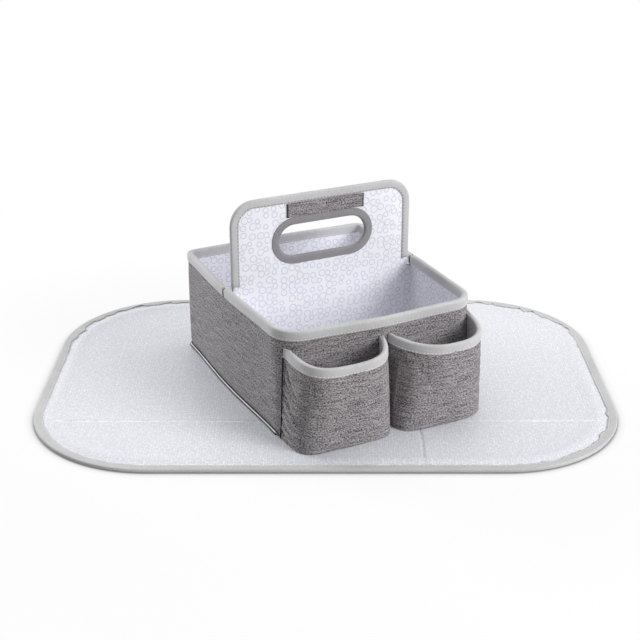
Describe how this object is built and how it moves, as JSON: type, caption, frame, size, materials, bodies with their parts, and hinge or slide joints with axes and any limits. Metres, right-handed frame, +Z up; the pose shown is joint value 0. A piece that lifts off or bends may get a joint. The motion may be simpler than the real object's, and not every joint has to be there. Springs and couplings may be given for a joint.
{
  "type": "diaper caddy",
  "caption": "Fabric nursery caddy with an upright handle divider, a rear bay, a front bay and round front pockets, standing on a matching fold-out changing mat.",
  "frame": {"origin": "middle of the mat's underside, where the set rests on a surface", "axes": "+X along the caddy's front wall to the right, +Y from the front wall to the back wall, +Z up"},
  "size_m": [0.651, 0.5644, 0.2124],
  "materials": {
    "heather_cloth": "woven melange, matte",
    "printed_lining": "printed plain weave, matte",
    "binding_tape": "folded woven tape",
    "dark_tape": "folded woven tape",
    "stiffener_board": "pressed board",
    "foam": "soft padding",
    "laminated_print": "clear laminate over print",
    "woven_back": "plain weave"
  },
  "bodies": {
    "mat": {"mat_top_sheet": "laminated_print", "mat_wadding": "foam", "mat_back_sheet": "woven_back", "mat_edge_tape": "binding_tape"},
    "caddy": {"base_outer_cloth": "heather_cloth", "base_board": "stiffener_board", "rear_floor_lining": "printed_lining", "front_floor_lining": "printed_lining", "base_welt": "binding_tape", "rear_wall_cloth": "heather_cloth", "front_wall_cloth": "heather_cloth", "rear_wall_lining": "printed_lining", "front_wall_lining": "printed_lining", "back_wall_board": "stiffener_board", "left_rear_board": "stiffener_board", "right_rear_board": "stiffener_board", "left_front_board": "stiffener_board", "right_front_board": "stiffener_board", "front_wall_board": "stiffener_board", "rear_rim_tape": "binding_tape", "front_rim_tape": "binding_tape", "divider_board": "stiffener_board", "divider_front_cover": "printed_lining", "divider_rear_cover": "printed_lining", "divider_edge_tape": "binding_tape", "hand_hole_tape": "dark_tape", "front_grip_patch": "heather_cloth", "rear_grip_patch": "heather_cloth", "left_pocket_cloth": "heather_cloth", "left_pocket_foam": "foam", "left_pocket_lining": "printed_lining", "left_pocket_floor": "heather_cloth", "left_pocket_tape": "binding_tape", "right_pocket_cloth": "heather_cloth", "right_pocket_foam": "foam", "right_pocket_lining": "printed_lining", "right_pocket_floor": "heather_cloth", "right_pocket_tape": "binding_tape"}
  },
  "joints": [
    {"name": "caddy_lift", "type": "slide", "parent": "mat", "child": "caddy", "axis": [0, 0, 1], "range_m": [0, 0.25]}
  ]
}
